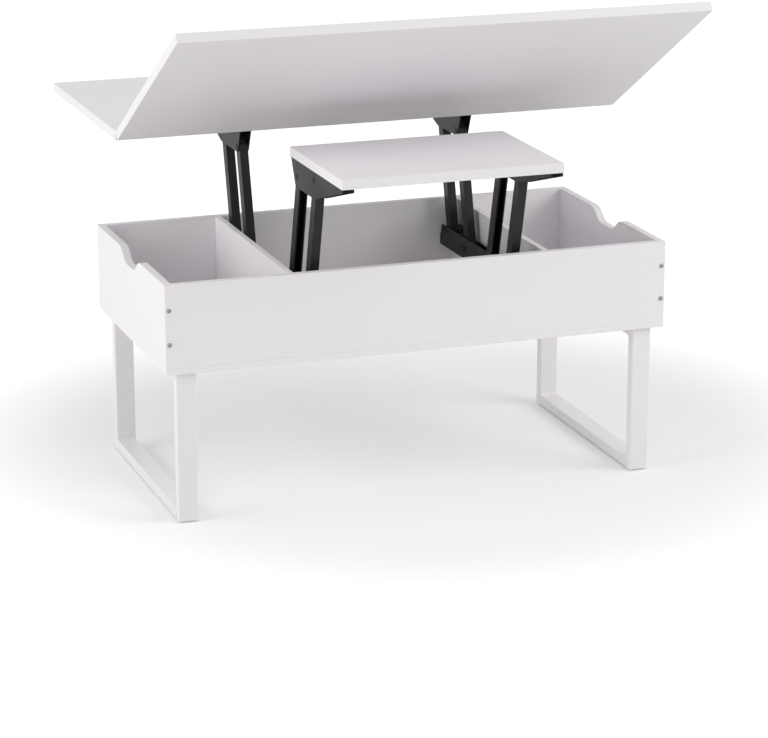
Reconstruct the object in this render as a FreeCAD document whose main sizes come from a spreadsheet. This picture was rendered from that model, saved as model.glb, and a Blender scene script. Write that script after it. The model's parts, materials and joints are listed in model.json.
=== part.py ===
import FreeCAD, Part
import os

import Sketcher
from FreeCAD import Vector

# Convertible table: a box on two leg frames, a small inner top and a folding two-leaf top, both on
# parallel lift arms. The shape is the raised one, with the upper leaf part-way open.
# X runs along the table, Y to the back, Z up from the floor. The origin is under the middle of the
# space that the raised table takes up. Lengths are in millimetres and angles in degrees.

# Driving dimensions
SIZES = {
    # Folding top
    "top_length": 1000,
    "top_depth": 500,
    "top_board": 18,
    "leaf_seam": 0.4,
    "rim_gap": 0.4,
    "leaf_rest_gap": 0.5,
    "leaf_open_angle": 149.5,
    "finger_width": 100,
    "finger_depth": 12,
    # Inner top
    "inner_top_length": 421,
    "inner_top_depth": 300,
    "inner_board": 18,
    "inner_top_lip": 38,
    # Box
    "box_length": 982,
    "box_depth": 494,
    "box_height": 168,
    "wall_board": 15,
    "bottom_board": 12,
    "divider_board": 12,
    "board_edge": 0.8,
    "notch_width": 157,
    "notch_floor": 35,
    "notch_depth": 25,
    # Leg frames
    "leg_height": 285,
    "leg_end_inset": 21,
    "leg_face_inset": 11,
    "tube_width": 38,
    "tube_depth": 20,
    "tube_wall": 1.5,
    "tube_corner": 2.5,
    "glide_radius": 10,
    "glide_height": 3,
    "glide_stem_radius": 3,
    "glide_stem_length": 7,
    "glide_spacing": 240,
    # Lift arms
    "arm_length": 235,
    "arm_depth": 23.4,
    "arm_width": 17,
    "arm_wall": 2.5,
    "lean_angle": 14.4,
    "pivot_height": 96,
    "pivot_rise": 16,
    "pivot_wall_gap": 44.5,
    "pivot_spacing": 99,
    "main_pivot_drop": 51,
    # Pivot pins, spacers and stops
    "pin_radius": 4,
    "pin_fit": 0.05,
    "pin_head_radius": 6.5,
    "pin_head_height": 1,
    "spacer_radius": 7,
    "side_gap": 0.3,
    "stop_radius": 4,
    "stop_gap": 0.3,
    "stop_rise": 5,
    # Brackets under the tops
    "bracket_wall": 2,
    "bracket_clearance": 1,
    "bracket_toe": 34,
    "bracket_corner": 8,
    "bracket_heel": 4,
    "bracket_tail_inset": 2,
    "bracket_side_inset": 1,
    "bracket_tail_height": 7,
    "bracket_round": 5,
    "main_bracket_lip": 10,
    "inner_bracket_lip": 19,
    # Base channels on the dividers
    "base_wall": 2,
    "base_end_gap": 10,
    "base_floor_gap": 5.3,
    "outer_wall_rise": 11,
    "inner_wall_rise": 1,
    "outer_wall_gap": 5.5,
    "inner_wall_gap": 1.5,
    "main_wall_gap": 1,
    "ear_margin": 7.5,
    "ear_inward": 12,
    "ear_outward": 24,
    "ear_slope": 8,
    # Leaf hinges
    "hinge_width": 38,
    "hinge_end_inset": 60,
    "hinge_plate_height": 15,
    "hinge_plate": 1.2,
    "hinge_offset": 0.25,
    "knuckle_radius": 2.4,
    "knuckle_gap": 0.4,
    "hinge_pin_radius": 1.2,
    "gain_gap": 0.3,
    # Fasteners
    "screw_fit": 0.05,
    "tip_gap": 0.5,
    "cut_overrun": 5,
    "panel_screw_radius": 2,
    "panel_screw_length": 38,
    "panel_screw_head_radius": 4.3,
    "panel_screw_head_height": 2.2,
    "panel_screw_low": 57,
    "panel_screw_high": 121,
    "bottom_screw_radius": 2,
    "bottom_screw_length": 30,
    "bottom_screw_head_radius": 4,
    "bottom_screw_head_height": 2.4,
    "bottom_screw_spacing": 320,
    "divider_screw_spacing": 300,
    "leg_bolt_radius": 3,
    "leg_bolt_bite": 9,
    "leg_bolt_head_radius": 6,
    "leg_bolt_head_height": 4,
    "leg_bolt_spacing": 300,
    "base_screw_radius": 2,
    "base_screw_bite": 9,
    "base_screw_head_radius": 4,
    "base_screw_head_height": 2,
    "base_screw_inset": 87,
    "base_screw_rise": 2,
    "bracket_screw_radius": 2,
    "bracket_screw_bite": 11,
    "bracket_screw_head_radius": 4,
    "bracket_screw_head_height": 1.8,
    "bracket_screw_toe": 17,
    "bracket_screw_tail_inset": 56,
    "hinge_screw_radius": 1.4,
    "hinge_screw_bite": 12,
    "hinge_screw_head_radius": 2.8,
    "hinge_screw_head_height": 0.8,
    "hinge_screw_spacing": 24,
}

# Levels, faces and pivots that follow from the driving dimensions
PLACES = {
    # Box
    "box_bottom": "=Size.glide_height + Size.leg_height",
    "wall_bottom": "=box_bottom + Size.bottom_board",
    "wall_height": "=Size.box_height - Size.bottom_board",
    "box_end": "=Size.box_length / 2",
    "box_inside": "=Size.box_depth - 2 * Size.wall_board",
    # Lanes of the lift gear, from under the inner top's ends out to the dividers
    "bracket_half": "=Size.arm_width / 2 + Size.bracket_clearance + Size.bracket_wall",
    "inner_lane": "=Size.inner_top_length / 2 - Size.bracket_side_inset - bracket_half",
    "base_face": "=inner_lane + bracket_half + Size.inner_wall_gap",
    "channel_face": "=base_face + Size.base_wall",
    "main_lane": "=channel_face + Size.main_wall_gap + bracket_half",
    "divider_face": "=main_lane + bracket_half + Size.outer_wall_gap + Size.base_wall",
    "base_width": "=divider_face - base_face",
    # Lift linkage, from the pivots in the box to the raised tops
    "far_pivot": "=box_inside / 2 - Size.pivot_wall_gap",
    "near_pivot": "=far_pivot - Size.pivot_spacing",
    "low_pivot": "=box_bottom + Size.pivot_height",
    "high_pivot": "=low_pivot + Size.pivot_rise",
    "arm_rise": "=Size.arm_length * cos(Size.lean_angle)",
    "arm_reach": "=Size.arm_length * sin(Size.lean_angle)",
    "closed_rise": "=Size.box_height + Size.rim_gap - Size.main_pivot_drop - Size.pivot_height",
    "lift_shift": "=arm_reach + sqrt(Size.arm_length ^ 2 - closed_rise ^ 2)",
    # Depths from the middle of the box, and where that middle lies
    "main_back": "=Size.top_depth / 2 + lift_shift",
    "inner_back": "=Size.inner_top_lip - near_pivot - arm_reach",
    "inner_front": "=inner_back - Size.inner_top_depth",
    "centre_y": "=-(main_back + inner_front) / 2",
    "front_face": "=centre_y - Size.box_depth / 2",
    "back_face": "=centre_y + Size.box_depth / 2",
    # Raised tops
    "main_under": "=low_pivot + arm_rise + Size.main_pivot_drop",
    "main_upper": "=main_under + Size.top_board",
    "hinge_edge": "=centre_y + main_back - Size.top_depth",
    "inner_under": "=main_under - Size.leaf_rest_gap - Size.inner_board",
    "inner_pivot_drop": "=inner_under - low_pivot - arm_rise",
    # Leaf hinges: their spacing, their line and the depth of the gains that the plates lie in
    "hinge_spacing": "=(Size.top_length / 2 - Size.hinge_end_inset) / 2",
    "hinge_y": "=hinge_edge - Size.hinge_offset",
    "hinge_z": "=main_upper + Size.leaf_seam / 2",
    "plate_back": "=Size.knuckle_radius + Size.knuckle_gap",
    "knuckle_length": "=(Size.hinge_width - 2 * Size.knuckle_gap) / 3",
    # Base channels, in depth and in height above the box's underside
    "base_length": "=box_inside - 2 * Size.base_end_gap",
    "base_screw_spacing": "=(base_length - 2 * Size.base_screw_inset) / 3",
    "base_floor": "=Size.pivot_height - Size.arm_depth / 2 - Size.base_floor_gap",
    "outer_wall_height": "=Size.pivot_height + Size.outer_wall_rise",
    "inner_wall_height": "=Size.pivot_height + Size.inner_wall_rise",
    # Brackets, from the low pivot to the tail's end
    "bracket_tail": "=Size.inner_top_depth - Size.inner_top_lip - Size.bracket_tail_inset",
    # Stop pins, from the pivot of the arm that leans on them
    "stop_out": "=Size.arm_depth / 2 + Size.stop_gap + Size.stop_radius",
    "stop_y": "=Size.stop_rise * sin(Size.lean_angle) + stop_out * cos(Size.lean_angle)",
    "stop_z": "=Size.stop_rise * cos(Size.lean_angle) - stop_out * sin(Size.lean_angle)",
    # Leg frames
    "leg_outer": "=box_end - Size.leg_end_inset",
    "leg_middle": "=leg_outer - Size.tube_width / 2",
    "leg_front": "=front_face + Size.leg_face_inset",
    "leg_back": "=back_face - Size.leg_face_inset",
    "rail_length": "=leg_back - leg_front - 2 * Size.tube_depth",
}

SIDES = {"left": -1, "right": 1}
HINGE_PLACES = (-2, -1, 0, 1, 2)

# Rotations that take a piece made along +Z to another direction
TURNS = {
    "+X": "rotation(vector(0; 1; 0); 90)",
    "-X": "rotation(vector(0; 1; 0); -90)",
    "+Y": "rotation(vector(1; 0; 0); -90)",
    "-Y": "rotation(vector(1; 0; 0); 90)",
    "+Z": "rotation(vector(0; 0; 1); 0)",
    "-Z": "rotation(vector(1; 0; 0); 180)",
}

doc = FreeCAD.newDocument("convertible_table")
nodes = []


def fill_sheet(name, cells):
    sheet = doc.addObject("Spreadsheet::Sheet", name)
    for row, (alias, content) in enumerate(cells.items(), start=1):
        sheet.set(f"A{row}", alias)
        sheet.set(f"B{row}", str(content))
        sheet.setAlias(f"B{row}", alias)
    doc.recompute()
    return sheet


size_sheet = fill_sheet("Size", SIZES)
place_sheet = fill_sheet("Place", PLACES)


# General helpers

def number(formula):
    """The present value of a formula, for the first draft of a sketch."""
    result = size_sheet.evalExpression(formula)
    return float(getattr(result, "Value", result))


def put(piece, at, turn=TURNS["+Z"]):
    piece.setExpression("Placement", f"placement(vector({at[0]}; {at[1]}; {at[2]}); {turn})")
    return piece


def keep(piece, label):
    """Give a finished sub-part its label and put it on the list of nodes."""
    piece.Label = label
    nodes.append(piece)
    return piece


def block(name, extent, at):
    box = doc.addObject("Part::Box", name)
    for side, formula in zip(("Length", "Width", "Height"), extent):
        box.setExpression(side, formula)
    return put(box, at)


def rod(name, radius, length, at, direction="+Z"):
    cylinder = doc.addObject("Part::Cylinder", name)
    cylinder.setExpression("Radius", radius)
    cylinder.setExpression("Height", length)
    return put(cylinder, at, TURNS[direction])


def joined(name, pieces):
    fusion = doc.addObject("Part::MultiFuse", name)
    fusion.Shapes = pieces
    return fusion


def grouped(name, pieces):
    compound = doc.addObject("Part::Compound", name)
    compound.Links = pieces
    return compound


def cut(name, base, tools):
    difference = doc.addObject("Part::Cut", name)
    difference.Base = base
    difference.Tool = tools[0] if len(tools) == 1 else joined(name + "_tools", tools)
    return difference


def opposite(direction):
    return ("-" if direction[0] == "+" else "+") + direction[1]


def moved(at, direction, distance):
    """A point shifted along a direction."""
    axis = "XYZ".index(direction[1])
    shifted = list(at)
    shifted[axis] = f"{at[axis]} {direction[0]} ({distance})"
    return tuple(shifted)


def fastener(name, kind, length, at, direction):
    """A headed screw, bolt or pin: the head sits on the point, the shank runs along the direction."""
    shank = rod(name + "_shank", f"Size.{kind}_radius", length, at, direction)
    tall = f"Size.{kind}_head_height"
    head = rod(name + "_head", f"Size.{kind}_head_radius", tall, at, opposite(direction))
    return joined(name, [shank, head])


def bore(name, radius, fit, length, at, direction):
    """A cutter for a hole that starts outside the face at the point."""
    start = moved(at, opposite(direction), "Size.cut_overrun")
    return rod(name, f"{radius} + {fit}", f"{length} + Size.cut_overrun", start, direction)


def screw_bore(name, kind, length, at, direction):
    depth = f"{length} + Size.tip_gap"
    return bore(name, f"Size.{kind}_radius", "Size.screw_fit", depth, at, direction)


def screw_set(name, kind, length, places):
    """Equal screws at a list of points and directions, and the bores that they take."""
    screws = []
    bores = []
    for index, (at, direction) in enumerate(places, start=1):
        screws.append(fastener(f"{name}_{index}", kind, length, at, direction))
        bores.append(screw_bore(f"{name}_{index}_bore", kind, length, at, direction))
    return grouped(name, screws), joined(name + "_bores", bores)


# Sketch helpers

def new_sketch(body, role, name, lift="0"):
    sketch = body.newObject("Sketcher::SketchObject", name)
    plane = [feature for feature in body.Origin.OriginFeatures if feature.Role == role][0]
    sketch.AttachmentSupport = [(plane, "")]
    sketch.MapMode = "FlatFace"
    sketch.setExpression("AttachmentOffset.Base.z", lift)
    return sketch


def fix_point(sketch, curve, end, point):
    """Hold one end of a curve at a point given by two formulas."""
    for kind, formula in zip(("DistanceX", "DistanceY"), point):
        rule = Sketcher.Constraint(kind, -1, 1, curve, end, number(formula))
        sketch.setExpression(f"Constraints[{sketch.addConstraint(rule)}]", formula)


def sketch_polygon(sketch, corners):
    points = [Vector(number(across), number(up), 0) for across, up in corners]
    lines = []
    for start, end in zip(points, points[1:] + points[:1]):
        lines.append(sketch.addGeometry(Part.LineSegment(start, end)))
    for line, following in zip(lines, lines[1:] + lines[:1]):
        sketch.addConstraint(Sketcher.Constraint("Coincident", line, 2, following, 1))
    for line, corner in zip(lines, corners):
        fix_point(sketch, line, 1, corner)


def rectangle(low, high):
    return [low, (high[0], low[1]), high, (low[0], high[1])]


def sketch_circle(sketch, centre, radius):
    middle = Vector(number(centre[0]), number(centre[1]), 0)
    circle = sketch.addGeometry(Part.Circle(middle, Vector(0, 0, 1), number(radius)))
    fix_point(sketch, circle, 3, centre)
    rule = Sketcher.Constraint("Radius", circle, number(radius))
    sketch.setExpression(f"Constraints[{sketch.addConstraint(rule)}]", radius)


def sketch_path(sketch, corners):
    """A closed outline. Each corner is a point and, where an arc follows, the arc's centre."""
    points = [Vector(number(point[0]), number(point[1]), 0) for point, centre in corners]
    curves = []
    for (point, centre), start, end in zip(corners, points, points[1:] + points[:1]):
        if centre is None:
            curves.append((sketch.addGeometry(Part.LineSegment(start, end)), 1, 2))
            continue
        middle = Vector(number(centre[0]), number(centre[1]), 0)
        outward = (start + end) / 2 - middle
        crown = middle + outward.normalize() * (start - middle).Length
        arc = sketch.addGeometry(Part.Arc(start, crown, end))
        first_gap = (sketch.getPoint(arc, 1) - start).Length
        last_gap = (sketch.getPoint(arc, 2) - start).Length
        curves.append((arc, 1, 2) if first_gap < last_gap else (arc, 2, 1))
    for (curve, first, last), following in zip(curves, curves[1:] + curves[:1]):
        sketch.addConstraint(Sketcher.Constraint("Coincident", curve, last, following[0], following[1]))
    for (curve, first, last), (point, centre) in zip(curves, corners):
        fix_point(sketch, curve, first, point)
        if centre is not None:
            rule = Sketcher.Constraint("DistanceY", -1, 1, curve, 3, number(centre[1]))
            sketch.setExpression(f"Constraints[{sketch.addConstraint(rule)}]", centre[1])


# Feature helpers

def pad(body, sketch, length, symmetric=False):
    feature = body.newObject("PartDesign::Pad", sketch.Name + "_pad")
    feature.Profile = sketch
    feature.setExpression("Length", length)
    feature.Midplane = symmetric
    return feature


def pocket(body, sketch, length=None):
    """A cut to both sides of the sketch, of a set width or right through."""
    feature = body.newObject("PartDesign::Pocket", sketch.Name + "_pocket")
    feature.Profile = sketch
    feature.Midplane = True
    if length is None:
        feature.Type = "ThroughAll"
    else:
        feature.setExpression("Length", length)
    return feature


def rounded(body, base, radius, picks=lambda edge: True):
    """A fillet on the edges of a feature that a test picks."""
    doc.recompute()
    names = [f"Edge{index}" for index, edge in enumerate(base.Shape.Edges, start=1) if picks(edge)]
    fillet = body.newObject("PartDesign::Fillet", base.Name + "_fillet")
    fillet.Base = (base, names)
    fillet.setExpression("Radius", radius)
    return fillet


# Boards

def slab(name, extent, at):
    """A board with softly rounded edges, its low corner at the point."""
    body = doc.addObject("PartDesign::Body", name + "_board")
    sketch = new_sketch(body, "XY_Plane", name + "_outline")
    sketch_polygon(sketch, rectangle(("0", "0"), (extent[0], extent[1])))
    rounded(body, pad(body, sketch, extent[2]), "Size.board_edge")
    return put(body, at)


def end_panel_board(name, at):
    """An end board whose top edge dips in an S on each side of a flat hand notch."""
    half, top, floor = "Size.notch_width / 2", "Place.wall_height", "Size.notch_floor / 2"
    low = f"{top} - Size.notch_depth"
    waist = (f"({half} + {floor}) / 2", f"{top} - Size.notch_depth / 2")
    run = f"({half} - {floor})"
    bend = f"({run} ^ 2 + Size.notch_depth ^ 2) / (4 * Size.notch_depth)"
    side = "Place.box_inside / 2"
    corners = [
        ((f"-{side}", "0"), None),
        ((side, "0"), None),
        ((side, top), None),
        ((half, top), (half, f"{top} - {bend}")),
        (waist, (floor, f"{low} + {bend}")),
        ((floor, low), None),
        ((f"-{floor}", low), (f"-{floor}", f"{low} + {bend}")),
        ((f"-{waist[0]}", waist[1]), (f"-{half}", f"{top} - {bend}")),
        ((f"-{half}", top), None),
        ((f"-{side}", top), None),
    ]
    body = doc.addObject("PartDesign::Body", name + "_board")
    sketch = new_sketch(body, "YZ_Plane", name + "_outline")
    sketch_path(sketch, corners)
    rounded(body, pad(body, sketch, "Size.wall_board"), "Size.board_edge")
    return put(body, at)


def panel_screw_places():
    places = []
    for side in SIDES.values():
        across = f"{side} * (Place.box_end - Size.wall_board / 2)"
        for level in ("Size.panel_screw_low", "Size.panel_screw_high"):
            height = f"Place.box_bottom + {level}"
            places.append(((across, "Place.front_face", height), "+Y"))
            places.append(((across, "Place.back_face", height), "-Y"))
    return places


def bottom_screw_places():
    """Screws from below: along the long walls, and into each divider."""
    seat = "Place.box_bottom + Size.bottom_screw_head_height"
    places = []
    for row in ("Place.front_face + Size.wall_board / 2", "Place.back_face - Size.wall_board / 2"):
        for step in (-1, 0, 1):
            places.append(((f"{step} * Size.bottom_screw_spacing", row, seat), "+Z"))
    for side in SIDES.values():
        across = f"{side} * (Place.divider_face + Size.divider_board / 2)"
        for end in (-1, 1):
            along = f"Place.centre_y + {end} * Size.divider_screw_spacing / 2"
            places.append(((across, along, seat), "+Z"))
    return places


def leg_bolt_places():
    seat = "Place.box_bottom - Size.tube_depth"
    places = []
    for side in SIDES.values():
        for end in (-1, 1):
            along = f"Place.centre_y + {end} * Size.leg_bolt_spacing / 2"
            places.append(((f"{side} * Place.leg_middle", along, seat), "+Z"))
    return places


def base_screw_places():
    """Screws from inside each base channel through its outer wall into the divider."""
    places = []
    for side in SIDES.values():
        seat = f"{side} * (Place.divider_face - Size.base_wall)"
        for step in (-1.5, -0.5, 0.5, 1.5):
            along = f"Place.centre_y + {step} * Place.base_screw_spacing"
            height = "Place.box_bottom + Size.pivot_height + Size.base_screw_rise"
            places.append(((seat, along, height), "+X" if side > 0 else "-X"))
    return places


def build_box():
    panel_screws, panel_bores = screw_set(
        "panel_screws", "panel_screw", "Size.panel_screw_length", panel_screw_places())
    bottom_screws, bottom_bores = screw_set(
        "bottom_screws", "bottom_screw", "Size.bottom_screw_length", bottom_screw_places())
    leg_bolts, leg_bores = screw_set(
        "leg_bolts", "leg_bolt", "Size.tube_depth + Size.leg_bolt_bite", leg_bolt_places())
    base_screws, base_bores = screw_set(
        "base_screws", "base_screw", "Size.base_wall + Size.base_screw_bite", base_screw_places())
    head_wells = []
    for index, (at, direction) in enumerate(bottom_screw_places(), start=1):
        depth = "Size.bottom_screw_head_height + Size.cut_overrun"
        radius = "Size.bottom_screw_head_radius + Size.screw_fit"
        head_wells.append(rod(f"bottom_screw_well_{index}", radius, depth, at, opposite(direction)))
    keep(panel_screws, "panel_screws")
    keep(bottom_screws, "bottom_screws")
    keep(leg_bolts, "leg_bolts")
    keep(base_screws, "base_screws")

    long_wall = ("Size.box_length", "Size.wall_board", "Place.wall_height")
    corner = "-Place.box_end"
    front = slab("front_panel", long_wall, (corner, "Place.front_face", "Place.wall_bottom"))
    back_at = (corner, "Place.back_face - Size.wall_board", "Place.wall_bottom")
    back = slab("back_panel", long_wall, back_at)
    floor = slab("bottom_panel", ("Size.box_length", "Size.box_depth", "Size.bottom_board"),
                 (corner, "Place.front_face", "Place.box_bottom"))
    keep(cut("front_panel", front, [panel_bores, bottom_bores]), "front_panel")
    keep(cut("back_panel", back, [panel_bores, bottom_bores]), "back_panel")
    keep(cut("bottom_panel", floor, [bottom_bores, leg_bores] + head_wells), "bottom_panel")

    for name, side in SIDES.items():
        low = "-Place.box_end" if side < 0 else "Place.box_end - Size.wall_board"
        end = end_panel_board(name + "_end_panel", (low, "Place.centre_y", "Place.wall_bottom"))
        keep(cut(name + "_end_panel", end, [panel_bores]), name + "_end_panel")
        low = "-Place.divider_face - Size.divider_board" if side < 0 else "Place.divider_face"
        extent = ("Size.divider_board", "Place.box_inside", "Place.wall_height")
        at = (low, "Place.front_face + Size.wall_board", "Place.wall_bottom")
        divider = slab(name + "_divider", extent, at)
        keep(cut(name + "_divider", divider, [bottom_bores, base_bores]), name + "_divider")
    return base_bores, leg_bores


# Leg frames

def runs_up(edge):
    return edge.BoundBox.ZLength > edge.BoundBox.DiagonalLength / 2


def tube(name, length, floor, at, direction):
    """A rectangular tube along a direction, closed at its low end by a floor of that thickness."""
    body = doc.addObject("PartDesign::Body", name + "_tube")
    outline = new_sketch(body, "XY_Plane", name + "_outline")
    sketch_polygon(outline, rectangle(("0", "0"), ("Size.tube_width", "Size.tube_depth")))
    shell = pad(body, outline, length)
    rounded(body, shell, "Size.tube_corner", runs_up)
    hollow = new_sketch(body, "XY_Plane", name + "_hollow", f"{length} + Size.cut_overrun")
    high = ("Size.tube_width - Size.tube_wall", "Size.tube_depth - Size.tube_wall")
    sketch_polygon(hollow, rectangle(("Size.tube_wall", "Size.tube_wall"), high))
    feature = pocket(body, hollow, f"{length} + Size.cut_overrun - ({floor})")
    feature.Midplane = False
    return put(body, at, TURNS[direction])


def build_legs(leg_bores):
    glides = []
    stem_bores = []
    for name, side in SIDES.items():
        for end in (-1, 1):
            at = (f"{side} * Place.leg_middle", f"Place.centre_y + {end} * Size.glide_spacing / 2", "0")
            tag = f"{name}_glide_{len(glides) + 1}"
            foot = rod(tag + "_foot", "Size.glide_radius", "Size.glide_height", at)
            stem_length = "Size.glide_height + Size.glide_stem_length"
            stem = rod(tag + "_stem", "Size.glide_stem_radius", stem_length, at)
            glides.append(joined(tag, [foot, stem]))
            stem_bores.append(
                bore(tag + "_bore", "Size.glide_stem_radius", "Size.screw_fit", stem_length, at, "+Z"))
    keep(grouped("floor_glides", glides), "floor_glides")

    for name, side in SIDES.items():
        low = "-Place.leg_outer" if side < 0 else "Place.leg_outer - Size.tube_width"
        front_at = (low, "Place.leg_front", "Size.glide_height")
        rear_at = (low, "Place.leg_back - Size.tube_depth", "Size.glide_height")
        rail_start = "Place.leg_front + Size.tube_depth"
        for leg, at in ((name + "_front_leg", front_at), (name + "_rear_leg", rear_at)):
            keep(tube(leg, "Size.leg_height", "Size.tube_wall", at, "+Z"), leg)
        top_at = (low, rail_start, "Place.box_bottom")
        top_rail = tube(name + "_top_rail", "Place.rail_length", "-Size.cut_overrun", top_at, "+Y")
        keep(cut(name + "_top_rail", top_rail, [leg_bores]), name + "_top_rail")
        foot_at = (low, rail_start, "Size.glide_height + Size.tube_depth")
        foot_rail = tube(name + "_foot_rail", "Place.rail_length", "-Size.cut_overrun", foot_at, "+Y")
        keep(cut(name + "_foot_rail", foot_rail, stem_bores), name + "_foot_rail")


# Lift gear

def base_pivots():
    """Each base pivot: a name, depth from the middle of the box, height and the way its arm leans."""
    return [
        ("main_rear", "Place.far_pivot", "Place.high_pivot", 1),
        ("main_front", "Place.near_pivot", "Place.low_pivot", 1),
        ("inner_rear", "-Place.near_pivot", "Place.low_pivot", -1),
        ("inner_front", "-Place.far_pivot", "Place.high_pivot", -1),
    ]


def wall_outline(height, eared):
    """A channel wall's outline from the middle of the box, raised to hold the end pivots: all the way
    between them, or with an ear over each."""
    half, low = "Place.base_length / 2", "Place.base_floor - Size.base_wall"
    crest = "Size.pivot_height + Size.pivot_rise + Size.ear_margin"
    far = "Place.far_pivot + Size.ear_outward"
    right = [(half, low), (half, height), (f"{far} + Size.ear_slope", height), (far, crest)]
    if eared:
        near = "Place.far_pivot - Size.ear_inward"
        right += [(near, crest), (f"{near} - Size.ear_slope", height)]
    left = [(f"-({along})", up) for along, up in right[::-1]]
    return right + left


def lift_base(name, side, bores):
    body = doc.addObject("PartDesign::Body", name + "_channel")
    plates = [
        ("floor", "Place.base_face", "Place.base_width",
         rectangle(("-Place.base_length / 2", "Place.base_floor - Size.base_wall"),
                   ("Place.base_length / 2", "Place.base_floor"))),
        ("outer_wall", "Place.divider_face - Size.base_wall", "Size.base_wall",
         wall_outline("Place.outer_wall_height", True)),
        ("inner_wall", "Place.base_face", "Size.base_wall",
         wall_outline("Place.inner_wall_height", False)),
    ]
    for plate, low, thickness, corners in plates:
        lift = low if side > 0 else f"-({low}) - {thickness}"
        sketch = new_sketch(body, "YZ_Plane", f"{name}_{plate}", lift)
        sketch_polygon(sketch, corners)
        pad(body, sketch, thickness)
    put(body, ("0", "Place.centre_y", "Place.box_bottom"))
    keep(cut(name, body, bores), name)


def lift_arm(name, side, lane, pivot):
    """A pressed channel with round ends and a bore at each end. The inner top's rear arms open to
    the front, and all others to the back."""
    arm, depth, level, lean = pivot
    half, reach = "Size.arm_depth / 2", "Size.arm_length"
    body = doc.addObject("PartDesign::Body", name)
    outline = new_sketch(body, "YZ_Plane", name + "_outline")
    foot, head = ("0", "0"), ("0", reach)
    sketch_path(outline, [
        ((half, "0"), None),
        ((half, reach), head),
        (("0", f"{reach} + {half}"), head),
        ((f"-{half}", reach), None),
        ((f"-{half}", "0"), foot),
        (("0", f"-{half}"), foot),
    ])
    pad(body, outline, "Size.arm_width", symmetric=True)
    hollow = new_sketch(body, "YZ_Plane", name + "_hollow")
    web, mouth = f"{half} - Size.arm_wall", f"{half} + Size.cut_overrun"
    span = (f"-({mouth})", web) if arm == "inner_rear" else (f"-({web})", mouth)
    low, high = f"-{half} - Size.cut_overrun", f"{reach} + {half} + Size.cut_overrun"
    sketch_polygon(hollow, rectangle((span[0], low), (span[1], high)))
    pocket(body, hollow, "Size.arm_width - 2 * Size.arm_wall")
    eyes = new_sketch(body, "YZ_Plane", name + "_eyes")
    for centre in (foot, head):
        sketch_circle(eyes, centre, "Size.pin_radius + Size.pin_fit")
    pocket(body, eyes)
    at = (f"{side} * {lane}", f"Place.centre_y + {depth}", level)
    put(body, at, f"rotation(vector(1; 0; 0); {-lean} * Size.lean_angle)")
    keep(body, name)


def build_lift_bases(base_screw_bores):
    pins, spacers, stops, bores = [], [], [], [base_screw_bores]
    for side_name, side in SIDES.items():
        out = "+X" if side > 0 else "-X"
        for name, depth, level, lean in base_pivots():
            tag = f"{side_name}_{name}"
            along = f"Place.centre_y + {depth}"
            if lean > 0:
                start, end = "Place.base_face", "Place.divider_face"
                gaps = [("Place.channel_face", "Place.main_lane - Size.arm_width / 2 - Size.side_gap"),
                        ("Place.main_lane + Size.arm_width / 2 + Size.side_gap",
                         "Place.divider_face - Size.base_wall")]
            else:
                start, end = "Place.inner_lane - Size.arm_width / 2 - Size.side_gap", "Place.channel_face"
                gaps = [("Place.inner_lane + Size.arm_width / 2 + Size.side_gap", "Place.base_face")]
            at = (f"{side} * ({start})", along, level)
            length = f"{end} - ({start})"
            pins.append(fastener(tag + "_base_pin", "pin", length, at, out))
            bores.append(bore(tag + "_pin_bore", "Size.pin_radius", "Size.pin_fit", length, at, out))
            for index, (low, high) in enumerate(gaps, start=1):
                ring_at = (f"{side} * ({low})", along, level)
                thick = f"{high} - ({low})"
                ring = rod(f"{tag}_ring_{index}", "Size.spacer_radius", thick, ring_at, out)
                hole = bore(f"{tag}_ring_{index}_bore", "Size.pin_radius", "Size.pin_fit",
                            f"{thick} + Size.cut_overrun", ring_at, out)
                spacers.append(cut(f"{tag}_spacer_{index}", ring, [hole]))
            stop_at = (at[0], f"{along} + {lean} * Place.stop_y", f"{level} + Place.stop_z")
            stops.append(rod(tag + "_stop", "Size.stop_radius", length, stop_at, out))
            bores.append(bore(tag + "_stop_bore", "Size.stop_radius", "Size.pin_fit", length, stop_at, out))
    keep(grouped("base_pivot_pins", pins), "base_pivot_pins")
    keep(grouped("arm_spacers", spacers), "arm_spacers")
    keep(grouped("stop_pins", stops), "stop_pins")
    for side_name, side in SIDES.items():
        lift_base(side_name + "_lift_base", side, bores)


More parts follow.
